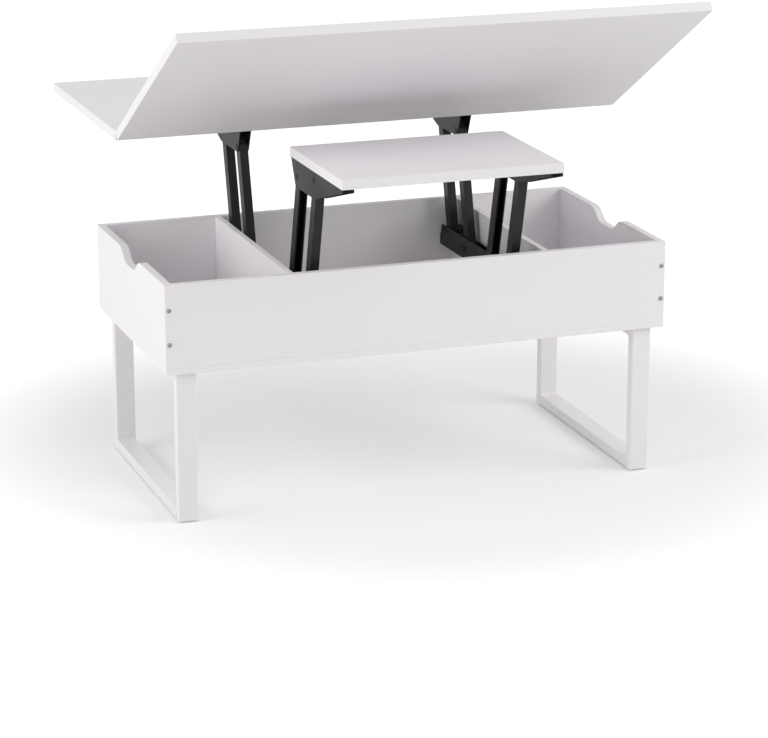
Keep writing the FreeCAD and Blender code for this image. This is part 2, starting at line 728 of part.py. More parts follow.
def bracket(name, side, lane, drop, lip, lean, screw_bores):
    """A folded channel under a top, from its low pivot: steep at the toe, tapered to the tail."""
    def along(distance):
        return distance if lean > 0 else f"-({distance})"

    tail = "Place.bracket_tail"
    corners = [
        (along("-Size.bracket_toe"), drop),
        (along("-Size.bracket_corner"), f"-{lip}"),
        (along("Size.pivot_spacing + Size.bracket_heel"), f"-{lip}"),
        (along(tail), f"{drop} - Size.bracket_tail_height"),
        (along(tail), drop),
    ]
    body = doc.addObject("PartDesign::Body", name + "_channel")
    outline = new_sketch(body, "YZ_Plane", name + "_outline")
    sketch_polygon(outline, corners)
    shell = pad(body, outline, "2 * Place.bracket_half", symmetric=True)
    lowest = number(f"-{lip}")
    near = number("Size.pin_fit")

    def is_low_corner(edge):
        return edge.BoundBox.ZMax - lowest < near and edge.BoundBox.YLength < near

    rounded(body, shell, "Size.bracket_round", is_low_corner)
    hollow = new_sketch(body, "YZ_Plane", name + "_hollow")
    low = (along("-Size.bracket_toe - Size.cut_overrun"), f"-{lip} - Size.cut_overrun")
    high = (along(f"{tail} + Size.cut_overrun"), f"{drop} - Size.bracket_wall")
    sketch_polygon(hollow, rectangle(low, high))
    pocket(body, hollow, "2 * (Place.bracket_half - Size.bracket_wall)")
    eyes = new_sketch(body, "YZ_Plane", name + "_eyes")
    for centre in (("0", "0"), (along("Size.pivot_spacing"), "Size.pivot_rise")):
        sketch_circle(eyes, centre, "Size.pin_radius + Size.pin_fit")
    pocket(body, eyes)
    toe = f"Place.centre_y + {along('Place.near_pivot + Place.arm_reach')}"
    put(body, (f"{side} * {lane}", toe, "Place.low_pivot + Place.arm_rise"))
    keep(cut(name, body, [screw_bores]), name)


def bracket_screw_places(lane, lean, underside):
    places = []
    toe = "Place.near_pivot + Place.arm_reach"
    steps = ("-Size.bracket_screw_toe", "Size.pivot_spacing / 2",
             "Place.bracket_tail - Size.bracket_screw_tail_inset")
    for side in SIDES.values():
        for step in steps:
            along = f"Place.centre_y + {lean} * ({toe} + {step})"
            places.append(((f"{side} * {lane}", along, f"{underside} - Size.bracket_wall"), "+Z"))
    return places


def build_lift(kind, lane, lean, underside, drop, lip):
    """The arms, brackets, top pins and bracket screws of one of the two tops."""
    screws, screw_bores = screw_set(
        kind + "_bracket_screws", "bracket_screw", "Size.bracket_wall + Size.bracket_screw_bite",
        bracket_screw_places(lane, lean, underside))
    keep(screws, kind + "_bracket_screws")
    pins = []
    for side_name, side in SIDES.items():
        out = "+X" if side > 0 else "-X"
        bracket(f"{side_name}_{kind}_bracket", side, lane, drop, lip, lean, screw_bores)
        for pivot in base_pivots():
            name, depth, level, _ = pivot
            if not name.startswith(kind):
                continue
            lift_arm(f"{side_name}_{name}_arm", side, lane, pivot)
            at = (f"{side} * ({lane} - Place.bracket_half)",
                  f"Place.centre_y + {depth} + {lean} * Place.arm_reach", f"{level} + Place.arm_rise")
            tag = f"{side_name}_{name}_top_pin"
            pins.append(rod(tag, "Size.pin_radius", "2 * Place.bracket_half", at, out))
    keep(grouped(kind + "_bracket_pins", pins), kind + "_bracket_pins")
    return screw_bores


# Folding top and inner top

def hinge_half(name, across, rise, own):
    """One hinge plate with its knuckles, about the hinge line: below it for -1, above it for 1."""
    middle = f"{across} * Place.hinge_spacing"
    left = f"{middle} - Size.hinge_width / 2"
    front = "Place.plate_back - Size.hinge_plate"
    flap = "Size.hinge_plate_height - Place.plate_back"
    flap_low = "Place.plate_back" if rise > 0 else "-Size.hinge_plate_height"
    extent = ("Size.hinge_width", "Size.hinge_plate", flap)
    pieces = [block(name + "_flap", extent, (left, front, flap_low))]
    web_low = "0" if rise > 0 else "-Place.plate_back"
    for index in own:
        start = f"{left} + {index} * (Place.knuckle_length + Size.knuckle_gap)"
        web = ("Place.knuckle_length", "Size.hinge_plate", "Place.plate_back")
        pieces.append(block(f"{name}_web_{index}", web, (start, front, web_low)))
        pieces.append(rod(f"{name}_knuckle_{index}", "Size.knuckle_radius", "Place.knuckle_length",
                          (start, "0", "0"), "+X"))
    hole = bore(name + "_bore", "Size.hinge_pin_radius", "Size.pin_fit",
                "Size.hinge_width + Size.cut_overrun", (left, "0", "0"), "+X")
    return cut(name, joined(name + "_plate", pieces), [hole])


def hinge_screw_places(rise):
    level = f"{rise} * (Size.hinge_plate_height + Place.plate_back) / 2"
    places = []
    for across in HINGE_PLACES:
        for end in (-1, 1):
            along = f"{across} * Place.hinge_spacing + {end} * Size.hinge_screw_spacing / 2"
            places.append(((along, "Place.plate_back - Size.hinge_plate", level), "+Y"))
    return places


def hinge_gains(name, rise):
    """Shallow recesses along a leaf's hinged edge, one for each hinge plate and its knuckles."""
    gains = []
    height = "Size.hinge_plate_height + Size.gain_gap + Size.cut_overrun"
    low = "-Size.cut_overrun" if rise > 0 else "-Size.hinge_plate_height - Size.gain_gap"
    for index, across in enumerate(HINGE_PLACES, start=1):
        left = f"{across} * Place.hinge_spacing - Size.hinge_width / 2 - Size.gain_gap"
        extent = ("Size.hinge_width + 2 * Size.gain_gap", "Place.plate_back + Size.cut_overrun", height)
        gains.append(block(f"{name}_gain_{index}", extent, (left, "-Size.cut_overrun", low)))
    return gains


def finger_cut(name):
    """A round-ended bite out of the lower leaf's back edge."""
    back = "Size.hinge_offset + Size.top_depth"
    low = "-Size.leaf_seam / 2 - Size.top_board - Size.cut_overrun"
    tall = "Size.top_board + 2 * Size.cut_overrun"
    reach = "Size.finger_width / 2 - Size.finger_depth"
    middle = block(name + "_middle", (f"2 * ({reach})", "Size.finger_depth + Size.cut_overrun", tall),
                   (f"-({reach})", f"{back} - Size.finger_depth", low))
    ends = []
    for end in (-1, 1):
        at = (f"{end} * ({reach})", back, low)
        ends.append(rod(f"{name}_end_{end + 2}", "Size.finger_depth", tall, at))
    return joined(name, [middle] + ends)


def leaf_board(name, low):
    extent = ("Size.top_length", "Size.top_depth", "Size.top_board")
    return slab(name, extent, ("-Size.top_length / 2", "Size.hinge_offset", low))


def build_folding_top(bracket_bores):
    """Both leaves and their hinges, drawn folded about the hinge line and then put in place."""
    line = ("0", "Place.hinge_y", "Place.hinge_z")
    opened = "rotation(vector(1; 0; 0); Size.leaf_open_angle)"
    length = "Size.hinge_plate + Size.hinge_screw_bite"
    for leaf, rise, own, turn in (("lower", -1, (0, 2), TURNS["+Z"]), ("upper", 1, (1,), opened)):
        tag = f"{leaf}_hinge"
        screws, bores = screw_set(tag + "_screws", "hinge_screw", length, hinge_screw_places(rise))
        plates = []
        for index, across in enumerate(HINGE_PLACES, start=1):
            blank = hinge_half(f"{tag}_half_{index}", across, rise, own)
            plates.append(cut(f"{tag}_{index}", blank, [bores]))
        low = "Size.leaf_seam / 2" if rise > 0 else "-Size.leaf_seam / 2 - Size.top_board"
        tools = hinge_gains(leaf + "_leaf", rise) + [bores]
        if rise < 0:
            tools.append(finger_cut("finger_cut"))
        board = put(cut(leaf + "_leaf_cut", leaf_board(leaf + "_leaf", low), tools), line, turn)
        if rise < 0:
            board = cut("lower_leaf", board, [bracket_bores])
        keep(board, leaf + "_leaf")
        keep(put(grouped(tag + "_plates", plates), line, turn), tag + "_plates")
        keep(put(screws, line, turn), tag + "_screws")
    pins = []
    for index, across in enumerate(HINGE_PLACES, start=1):
        at = (f"{across} * Place.hinge_spacing - Size.hinge_width / 2", "0", "0")
        pins.append(rod(f"hinge_pin_{index}", "Size.hinge_pin_radius", "Size.hinge_width", at, "+X"))
    keep(put(grouped("hinge_pins", pins), line), "hinge_pins")


def build_inner_top(bracket_bores):
    extent = ("Size.inner_top_length", "Size.inner_top_depth", "Size.inner_board")
    at = ("-Size.inner_top_length / 2", "Place.centre_y + Place.inner_front", "Place.inner_under")
    keep(cut("inner_top", slab("inner_top", extent, at), [bracket_bores]), "inner_top")


def check_document():
    """Stop before anything is written if an object failed or a sub-part's shape is unsound."""
    doc.recompute()
    for piece in doc.Objects:
        if "Invalid" in piece.State or "Error" in piece.State:
            raise RuntimeError(f"{piece.Name} failed: {piece.State}")
    for piece in nodes:
        if piece.Shape.isNull() or not piece.Shape.isValid():
            raise RuntimeError(f"{piece.Label} has no sound shape")


def write_parts():
    os.makedirs("parts", exist_ok=True)
    for piece in nodes:
        piece.Shape.exportStep(f"parts/{piece.Label}.step")


base_bores, leg_bores = build_box()
build_legs(leg_bores)
build_lift_bases(base_bores)
main_bores = build_lift(
    "main", "Place.main_lane", 1, "Place.main_under", "Size.main_pivot_drop", "Size.main_bracket_lip")
inner_bores = build_lift(
    "inner", "Place.inner_lane", -1, "Place.inner_under", "Place.inner_pivot_drop",
    "Size.inner_bracket_lip")
build_folding_top(main_bores)
build_inner_top(inner_bores)
check_document()
write_parts()
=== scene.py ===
import json
import math
from collections import namedtuple

import bmesh
import bpy
from bpy.props import FloatProperty, FloatVectorProperty, PointerProperty
from mathutils import Matrix, Vector

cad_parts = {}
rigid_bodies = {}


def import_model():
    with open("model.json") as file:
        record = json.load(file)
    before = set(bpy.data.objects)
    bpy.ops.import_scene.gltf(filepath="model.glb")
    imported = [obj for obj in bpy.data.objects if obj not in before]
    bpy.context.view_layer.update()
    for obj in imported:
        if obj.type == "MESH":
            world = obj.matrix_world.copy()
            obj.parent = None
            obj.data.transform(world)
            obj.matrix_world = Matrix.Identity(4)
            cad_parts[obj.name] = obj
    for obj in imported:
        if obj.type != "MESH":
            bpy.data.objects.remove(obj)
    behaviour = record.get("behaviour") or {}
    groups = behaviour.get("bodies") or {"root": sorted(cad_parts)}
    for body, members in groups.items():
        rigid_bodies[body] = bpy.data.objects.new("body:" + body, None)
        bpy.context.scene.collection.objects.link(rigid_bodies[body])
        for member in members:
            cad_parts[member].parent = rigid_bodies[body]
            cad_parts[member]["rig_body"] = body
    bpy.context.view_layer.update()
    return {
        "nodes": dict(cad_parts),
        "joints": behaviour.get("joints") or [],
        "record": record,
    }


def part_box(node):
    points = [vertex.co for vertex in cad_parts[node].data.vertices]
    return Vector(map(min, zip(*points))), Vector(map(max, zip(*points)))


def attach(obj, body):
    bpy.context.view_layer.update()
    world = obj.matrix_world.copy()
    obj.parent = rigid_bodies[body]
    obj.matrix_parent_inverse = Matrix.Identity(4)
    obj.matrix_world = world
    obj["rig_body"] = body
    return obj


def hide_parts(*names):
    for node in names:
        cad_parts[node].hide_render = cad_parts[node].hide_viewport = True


bl_info = {
    "name": "Convertible Table",
    "version": (1, 0, 0),
    "blender": (4, 5, 0),
    "location": "View3D > Sidebar > Table",
    "description": "Dresses a box table with a folding top and an inner top on lift arms",
    "category": "Object",
}

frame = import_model()

X, Y, Z = range(3)
SIDES = ("left", "right")
BOARDS_ACROSS = ("left_end_panel", "right_end_panel", "left_divider", "right_divider")

# How many times longer than wide the melamine's streaks are
STREAK_STRETCH = 14.0

# Knuckles of a hinge, shared by its two plates
KNUCKLES = 3

# Width of the camera's sensor, in millimetres
SENSOR_WIDTH = 36

# Corners nearer than this, in metres, are one corner
SAME_CORNER = 1e-6

# Angles between faces: up to which they are one flat, from which their edge is rounded, and up to
# which it is shaded smooth, on a rounded piece and on a turned one
ONE_FLAT = math.radians(0.5)
ROUND_FROM = math.radians(35)
SMOOTH_ROUNDED = math.radians(50)
SMOOTH_TURNED = math.radians(35)

# Cosines to an axis: the least along it, the least straight along it, and the most across it
ALONG, STRAIGHT_ALONG, ACROSS = 0.9, 0.999, 0.5

# Radius and height of each kind of screw's head, and radius of its shank, in metres
Screw = namedtuple("Screw", "node body head height shank")
SCREWS = (
    Screw("panel_screws", "box", 0.0043, 0.0022, 0.002),
    Screw("bottom_screws", "box", 0.004, 0.0024, 0.002),
    Screw("base_screws", "box", 0.004, 0.002, 0.002),
    Screw("main_bracket_screws", "main_top", 0.004, 0.0018, 0.002),
    Screw("inner_bracket_screws", "inner_lift_top", 0.004, 0.0018, 0.002),
)


# Settings

def colour(name, description, default):
    return FloatVectorProperty(
        name=name, description=description, default=default, subtype="COLOR", size=3, min=0, max=1)


def length(name, description, default):
    return FloatProperty(
        name=name, description=description, default=default, unit="LENGTH", min=0, precision=4)


def spot(name, description, default):
    return FloatVectorProperty(
        name=name, description=description, default=default, subtype="TRANSLATION", unit="LENGTH",
        size=3)


def angle(name, description, degrees):
    return FloatProperty(
        name=name, description=description, default=math.radians(degrees), subtype="ANGLE")


def power(name, description, default):
    return FloatProperty(name=name, description=description, default=default, unit="POWER", min=0)


def share(name, description, default):
    return FloatProperty(name=name, description=description, default=default, min=0, max=1)


class TableFinish(bpy.types.PropertyGroup):
    """Colours of the finishes."""
    board: colour("Boards", "White melamine of the boards", (0.90, 0.88, 0.90))
    board_grain: colour(
        "Board grain", "Darker streaks printed in the melamine", (0.893, 0.873, 0.893))
    tube: colour("Leg frames", "White powder coat of the leg frames", (0.89, 0.873, 0.89))
    steel: colour("Lift gear", "Black powder coat of the lift gear", (0.0085, 0.0082, 0.0088))
    brass: colour("Hinges", "Brass plating of the leaf hinges", (0.72, 0.53, 0.25))
    zinc: colour("Screws", "Zinc plating of screws and bolts", (0.36, 0.36, 0.38))
    plastic: colour("Glides", "Dark plastic of the glides and spacers", (0.035, 0.034, 0.036))
    rivet: colour("Rivets", "Blackened steel of the pivot rivets", (0.005, 0.0048, 0.0052))
    floor: colour("Floor", "Studio floor", (0.88, 0.87, 0.88))


class TableSizes(bpy.types.PropertyGroup):
    """Sizes of the details."""
    board_edge: length("Board edge", "Radius of the boards' edge banding", 0.001)
    base_edge: length("Base edge", "Radius of the base channels' rims", 0.0004)
    arm_depth: length("Arm depth", "Depth of a lift arm across its pivots", 0.0234)
    arm_wall: length("Arm wall", "Sheet thickness of the lift arms", 0.0025)
    arm_fold: length("Arm fold", "Outer radius of the folds of a lift arm", 0.0014)
    bracket_wall: length("Bracket wall", "Sheet thickness of the brackets", 0.002)
    bracket_fold: length("Bracket fold", "Outer radius of the folds of a bracket", 0.001)
    bracket_toe: length("Bracket toe", "Run of the steep end of a bracket", 0.026)
    bracket_belly: length("Bracket belly", "Length of a bracket's low edge", 0.111)
    bracket_tail: length("Bracket tail", "Height of a bracket at its thin end", 0.007)
    bracket_round: length("Bracket round", "Radius of a bracket's low corners", 0.005)
    pin: length("Pin", "Radius of the pivot pins and stop pins", 0.004)
    rivet_head: length("Rivet head", "Radius of the rivet heads on the pivots", 0.0062)
    rivet_dome: length("Rivet dome", "Height of the rivet heads on the brackets", 0.0006)
    base_dome: length("Base dome", "Height of the rivet heads on the base channels", 0.001)
    stop_head: length("Stop head", "Radius of the heads of the stop pins", 0.0046)
    stop_dome: length("Stop dome", "Height of the heads of the stop pins", 0.0004)
    hinge_plate: length("Hinge plate", "Thickness of a hinge plate", 0.0012)
    hinge_corner: length("Hinge corner", "Radius of a hinge plate's corners", 0.0022)
    hinge_edge: length("Hinge edge", "Radius of a hinge's edges", 0.00025)
    hinge_seam: length("Hinge seam", "Gap between a hinge's knuckles", 0.0004)
    knuckle: length("Knuckle", "Radius of a hinge's knuckles", 0.0024)
    hinge_screw_head: length("Hinge screw head", "Radius of a hinge screw's head", 0.0028)
    hinge_screw_height: length("Hinge screw height", "Height of a hinge screw's head", 0.0008)
    hinge_screw_shank: length("Hinge screw shank", "Radius of a hinge screw's shank", 0.0014)
    hinge_screw_length: length("Hinge screw length", "Length of a hinge screw", 0.014)
    hinge_screw_offset: length(
        "Hinge screw offset", "Distance of a hinge screw from the hinge's middle", 0.012)
    top_weld: length("Top weld", "Radius of the fillets under the top rails", 0.009)
    foot_weld: length("Foot weld", "Radius of the fillets on the foot rails", 0.0025)
    tube_corner: length("Tube corner", "Radius of the leg tubes' corners", 0.0025)
    bolt_head: length("Bolt head", "Radius of a leg bolt's head over its corners", 0.0058)
    bolt_height: length("Bolt height", "Height of a leg bolt's head and washer", 0.004)
    bolt_shank: length("Bolt shank", "Radius of a leg bolt's shank", 0.003)
    washer_rim: length("Washer rim", "Radius of the washers under the leg bolts", 0.006)
    washer_sheet: length("Washer sheet", "Thickness of the washers under the leg bolts", 0.001)


class TableStage(bpy.types.PropertyGroup):
    """Camera, light and floor."""
    camera_place: spot("Camera", "Place of the camera", (-1.7793, -5.1233, 1.7804))
    camera_turn: angle("Turn", "Turn of the camera from square to the front", 19.51)
    camera_tilt: angle("Tilt", "Tilt of the camera below level", 16.591)
    lens: FloatProperty(
        name="Lens", description=f"Focal length on a {SENSOR_WIDTH} mm wide sensor",
        default=134.9, unit="CAMERA", min=1)
    key_energy: power("Key light", "Power of the soft light on the left", 75)
    key_place: spot("Key place", "Place of the soft light on the left", (-4.3, -0.6, 2.0))
    fill_energy: power("Fill light", "Power of the soft light in front on the right", 88)
    fill_place: spot(
        "Fill place", "Place of the soft light in front on the right", (3.6, -2.6, 2.6))
    light_width: length("Light width", "Width of each soft light", 3.0)
    light_height: length("Light height", "Height of each soft light", 2.5)
    light_aim: spot("Light aim", "Point that the soft lights face", (0, 0, 0.45))
    room_light: share("Room light", "Strength of the even light from all round", 0.55)
    floor_size: length("Floor size", "Side of the studio floor", 60)
    # Painted light on the floor, seen by the camera and in reflections: it grows from the near lift
    # to the far lift between the fade's start and end, away from its centre, so the floor near the
    # table stays greyer
    fade_centre: spot("Fade centre", "Point that the floor grows whiter away from", (0.12, 0, 0))
    fade_start: length("Fade start", "Distance from which the floor grows whiter", 0.55)
    fade_end: length("Fade end", "Distance from which the floor is at its whitest", 1.25)
    near_lift: share(
        "Near lift", "White added to the floor near the table, as the camera sees it", 0.14)
    far_lift: share(
        "Far lift", "White added to the floor further off, as the camera sees it", 0.55)


# Node helpers

def shader_nodes(name):
    """A new material, its node tree and its shader."""
    material = bpy.data.materials.new(name)
    material.use_nodes = True
    tree = material.node_tree
    return material, tree, tree.nodes["Principled BSDF"]


def add_node(tree, kind, **settings):
    """A node with its settings. A setting whose name is a socket's sets that socket."""
    node = tree.nodes.new(kind)
    for key, value in settings.items():
        if key in node.inputs:
            node.inputs[key].default_value = value
        else:
            setattr(node, key, value)
    return node


def add_noise(tree, where, **settings):
    """A noise texture laid out over the given coordinates."""
    noise = add_node(tree, "ShaderNodeTexNoise", **settings)
    tree.links.new(where, noise.inputs["Vector"])
    return noise


def work_out(tree, operation, *terms):
    """The result of an operation on sockets and plain numbers."""
    node = add_node(tree, "ShaderNodeMath", operation=operation)
    for socket, term in zip(node.inputs, terms):
        if isinstance(term, bpy.types.NodeSocket):
            tree.links.new(term, socket)
        else:
            socket.default_value = term
    return node.outputs["Value"]


def remap(tree, value, least, most, low=0.0, high=1.0, **settings):
    """A value between least and most, carried over to lie between low and high."""
    node = add_node(tree, "ShaderNodeMapRange", **settings, **{
        "From Min": least, "From Max": most, "To Min": low, "To Max": high})
    tree.links.new(value, node.inputs["Value"])
    return node.outputs["Result"]


def new_group(name, inputs, outputs):
    """An empty shader node group with named sockets, its way in and its way out."""
    group = bpy.data.node_groups.new(name, "ShaderNodeTree")
    for label, kind, default in inputs:
        socket = group.interface.new_socket(label, in_out="INPUT", socket_type=kind)
        socket.default_value = default
    for label, kind in outputs:
        group.interface.new_socket(label, in_out="OUTPUT", socket_type=kind)
    return group, group.nodes.new("NodeGroupInput"), group.nodes.new("NodeGroupOutput")


def place_group(tree, effect, **values):
    """A shared effect, placed in a material with its own values."""
    node = add_node(tree, "ShaderNodeGroup", node_tree=bpy.data.node_groups[effect])
    for key, value in values.items():
        node.inputs[key.capitalize()].default_value = value
    return node


def rgba(values):
    return (*values, 1.0)


# Shared effects

def make_streaks():
    """Long faint streaks as in printed melamine: a colour, and a mask of pores."""
    group, way_in, way_out = new_group(
        "wood_streaks",
        [("Stretch", "NodeSocketVector", (1, 1, 1)),
         ("Light", "NodeSocketColor", (1, 1, 1, 1)),
         ("Dark", "NodeSocketColor", (0, 0, 0, 1))],
        [("Color", "NodeSocketColor"), ("Pores", "NodeSocketFloat")])
    link = group.links.new
    where = add_node(group, "ShaderNodeTexCoord")
    stretch = add_node(group, "ShaderNodeMapping")
    link(where.outputs["Object"], stretch.inputs["Vector"])
    link(way_in.outputs["Stretch"], stretch.inputs["Scale"])
    along = stretch.outputs["Vector"]
    broad = add_noise(group, along, Scale=9.0, Detail=4.0, Roughness=0.55, Distortion=0.8)
    fine = add_noise(group, along, Scale=70.0, Detail=6.0, Roughness=0.65)
    half = work_out(group, "MULTIPLY", fine.outputs["Fac"], 0.5)
    both = work_out(group, "MULTIPLY_ADD", broad.outputs["Fac"], 0.5, half)
    tint = add_node(group, "ShaderNodeMix", data_type="RGBA")
    link(remap(group, both, 0.42, 0.62), tint.inputs["Factor"])
    link(way_in.outputs["Light"], tint.inputs["A"])
    link(way_in.outputs["Dark"], tint.inputs["B"])
    link(tint.outputs["Result"], way_out.inputs["Color"])
    link(remap(group, fine.outputs["Fac"], 0.55, 0.75), way_out.inputs["Pores"])


def make_peel():
    """The fine dimples of a sprayed or moulded surface: a height, and a slow drift of the gloss."""
    group, way_in, way_out = new_group(
        "orange_peel",
        [("Scale", "NodeSocketFloat", 400.0), ("Gloss", "NodeSocketFloat", 0.4),
         ("Drift", "NodeSocketFloat", 0.1)],
        [("Height", "NodeSocketFloat"), ("Roughness", "NodeSocketFloat")])
    link = group.links.new
    where = add_node(group, "ShaderNodeTexCoord")
    dimples = add_noise(group, where.outputs["Object"], Detail=2.0, Roughness=0.5)
    link(way_in.outputs["Scale"], dimples.inputs["Scale"])
    link(dimples.outputs["Fac"], way_out.inputs["Height"])
    slow = add_noise(group, where.outputs["Object"], Scale=14.0, Detail=3.0)
    centred = work_out(group, "SUBTRACT", slow.outputs["Fac"], 0.5)
    gloss = work_out(
        group, "MULTIPLY_ADD", centred, way_in.outputs["Drift"], way_in.outputs["Gloss"])
    link(gloss, way_out.inputs["Roughness"])


def make_tarnish():
    """Cloudy darkening of a coat or a plating."""
    group, way_in, way_out = new_group(
        "tarnish",
        [("Clean", "NodeSocketColor", (1, 1, 1, 1)), ("Scale", "NodeSocketFloat", 60.0),
         ("Amount", "NodeSocketFloat", 0.3)],
        [("Color", "NodeSocketColor")])
    link = group.links.new
    where = add_node(group, "ShaderNodeTexCoord")
    clouds = add_noise(group, where.outputs["Object"], Detail=5.0, Roughness=0.6)
    link(way_in.outputs["Scale"], clouds.inputs["Scale"])
    dull = add_node(group, "ShaderNodeMix", data_type="RGBA")
    dull.inputs["B"].default_value = (0.08, 0.07, 0.06, 1)
    link(work_out(group, "MULTIPLY", clouds.outputs["Fac"], way_in.outputs["Amount"]),
         dull.inputs["Factor"])
    link(way_in.outputs["Clean"], dull.inputs["A"])
    link(dull.outputs["Result"], way_out.inputs["Color"])


def bump_from(tree, height, shader, distance, strength):
    """Let a height stand out from the surface."""
    bump = add_node(tree, "ShaderNodeBump", Strength=strength, Distance=distance)
    tree.links.new(height, bump.inputs["Height"])
    tree.links.new(bump.outputs["Normal"], shader.inputs["Normal"])


# Finishes

def melamine(name, stretch):
    """White printed melamine whose streaks run along a board."""
    finish = bpy.context.scene.table_finish
    material, tree, shader = shader_nodes(name)
    shader.inputs["Specular IOR Level"].default_value = 0.3
    grain = place_group(
        tree, "wood_streaks", stretch=stretch, light=rgba(finish.board),
        dark=rgba(finish.board_grain))
    tree.links.new(grain.outputs["Color"], shader.inputs["Base Color"])
    sheen = place_group(tree, "orange_peel", scale=500.0, gloss=0.55, drift=0.06)
    tree.links.new(sheen.outputs["Roughness"], shader.inputs["Roughness"])
    bump_from(tree, grain.outputs["Pores"], shader, distance=0.00002, strength=0.4)
    return material


def powder_coat(name, base, gloss, depth, shine=0.5):
    """A sprayed or moulded skin with a fine dimple and faint clouds in its tone."""
    material, tree, shader = shader_nodes(name)
    shader.inputs["Specular IOR Level"].default_value = shine
    clouds = place_group(tree, "tarnish", clean=rgba(base), scale=60.0, amount=0.06)
    tree.links.new(clouds.outputs["Color"], shader.inputs["Base Color"])
    skin = place_group(tree, "orange_peel", scale=650.0, gloss=gloss, drift=0.15)
    tree.links.new(skin.outputs["Roughness"], shader.inputs["Roughness"])
    bump_from(tree, skin.outputs["Height"], shader, distance=depth, strength=0.6)
    return material


def plated(name, base, gloss, amount):
    """Plated metal, tarnished by the given amount."""
    material, tree, shader = shader_nodes(name)
    shader.inputs["Metallic"].default_value = 1.0
    clouds = place_group(tree, "tarnish", clean=rgba(base), scale=120.0, amount=amount)
    tree.links.new(clouds.outputs["Color"], shader.inputs["Base Color"])
    skin = place_group(tree, "orange_peel", scale=1500.0, gloss=gloss, drift=0.2)
    tree.links.new(skin.outputs["Roughness"], shader.inputs["Roughness"])
    bump_from(tree, skin.outputs["Height"], shader, distance=0.00001, strength=0.4)
    return material


def give(piece, material):
    """Make a material the only one of a piece."""
    piece.data.materials.clear()
    piece.data.materials.append(material)


class TABLE_OT_finishes(bpy.types.Operator):
    """Make the finishes and give them to the modelled nodes"""
    bl_idname = "table.finishes"
    bl_label = "Finishes"

    def execute(self, context):
        finish = context.scene.table_finish
        make_streaks()
        make_peel()
        make_tarnish()
        along = melamine("melamine_along", (1.0, STREAK_STRETCH, STREAK_STRETCH))
        across = melamine("melamine_across", (STREAK_STRETCH, 1.0, STREAK_STRETCH))
        by_slot = {
            "white_board": along,
            "white_tube": powder_coat("white_powder_coat", finish.tube, gloss=0.38, depth=0.00003),
            "black_steel": powder_coat(
                "black_powder_coat", finish.steel, gloss=0.5, depth=0.00005, shine=0.3),
            "brass_hinge": plated("brass_plate", finish.brass, gloss=0.3, amount=0.25),
            "zinc_steel": plated("zinc_plate", finish.zinc, gloss=0.38, amount=0.35),
            "dark_plastic": powder_coat("dark_plastic", finish.plastic, gloss=0.55, depth=0.00004),
        }
        powder_coat("black_rivet", finish.rivet, gloss=0.5, depth=0.00002, shine=0.15)
        for row in frame["record"]["subparts"]:
            give(frame["nodes"][row["node"]], by_slot[row["material_slot"]])
        for node in BOARDS_ACROSS:
            give(frame["nodes"][node], across)
        return {"FINISHED"}


# Modelling helpers

def select_only(piece):
    """Make a piece the active one and the only one selected."""
    bpy.ops.object.select_all(action="DESELECT")
    piece.select_set(True)
    bpy.context.view_layer.objects.active = piece


def start(name, add, **settings):
    """Begin a piece from a primitive, alone in the selection, and go into edit mode."""
    bpy.ops.object.select_all(action="DESELECT")
    add(**settings)
    piece = bpy.context.object
    piece.name = name
    bpy.ops.object.transform_apply(location=True, rotation=True, scale=True)
    bpy.ops.object.mode_set(mode="EDIT")
    return piece


def start_box(name, low, high):
    """Begin a piece from a box between two corners."""
    low, high = Vector(low), Vector(high)
    return start(name, bpy.ops.mesh.primitive_cube_add, size=1, location=(low + high) / 2,
                 scale=high - low)


def start_rod(name, radius, low, high, corners=32):
    """Begin a piece from an upright rod between two heights."""
    return start(name, bpy.ops.mesh.primitive_cylinder_add, vertices=corners, radius=radius,
                 depth=high - low, location=(0, 0, (low + high) / 2))


def runs_along(direction, axis):
    return abs(direction[axis]) > ALONG


def lies_across(direction, axis):
    return abs(direction[axis]) < ACROSS


def faces_up(normal):
    return normal.z > ALONG


def faces_down(normal, least=ALONG):
    return normal.z < -least


def pick(kind, test):
    """Select, in edit mode, each face or edge whose middle and direction pass a test."""
    bpy.ops.mesh.select_mode(type=kind)
    bpy.ops.mesh.select_all(action="DESELECT")
    piece = bpy.context.edit_object
    mesh = bmesh.from_edit_mesh(piece.data)
    if kind == "FACE":
        chosen = [face for face in mesh.faces if test(face.calc_center_median(), face.normal)]
    else:
        chosen = []
        for edge in mesh.edges:
            first, last = (corner.co for corner in edge.verts)
            if test((first + last) / 2, (last - first).normalized()):
                chosen.append(edge)
    for part in chosen:
        part.select_set(True)
    bmesh.update_edit_mesh(piece.data)
    if not chosen:
        raise RuntimeError(f"nothing to select on {piece.name}")


def pick_underside():
    """Select, in edit mode, the faces that look down."""
    pick("FACE", lambda middle, normal: faces_down(normal))


def pull(rise):
    """Extrude the selected faces upwards, or downwards by a negative rise."""
    bpy.ops.mesh.extrude_region_move(TRANSFORM_OT_translate={"value": (0, 0, rise)})


def round_edges(test, radius, segments=4, profile=0.5):
    """Round, in edit mode, each edge whose middle and direction pass a test."""
    pick("EDGE", test)
    bpy.ops.mesh.bevel(offset=radius, segments=segments, profile=profile, affect="EDGES")


def leave(piece):
    """Leave edit mode with the piece's faces pointing outwards."""
    bpy.ops.mesh.select_all(action="SELECT")
    bpy.ops.mesh.normals_make_consistent(inside=False)
    bpy.ops.object.mode_set(mode="OBJECT")
    return piece


def modify(piece, kind, **settings):
    """Add a modifier to a piece and apply it."""
    modifier = piece.modifiers.new(kind.lower(), kind)
    for key, value in settings.items():
        setattr(modifier, key, value)
    bpy.context.view_layer.objects.active = piece
    bpy.ops.object.modifier_apply(modifier=modifier.name)


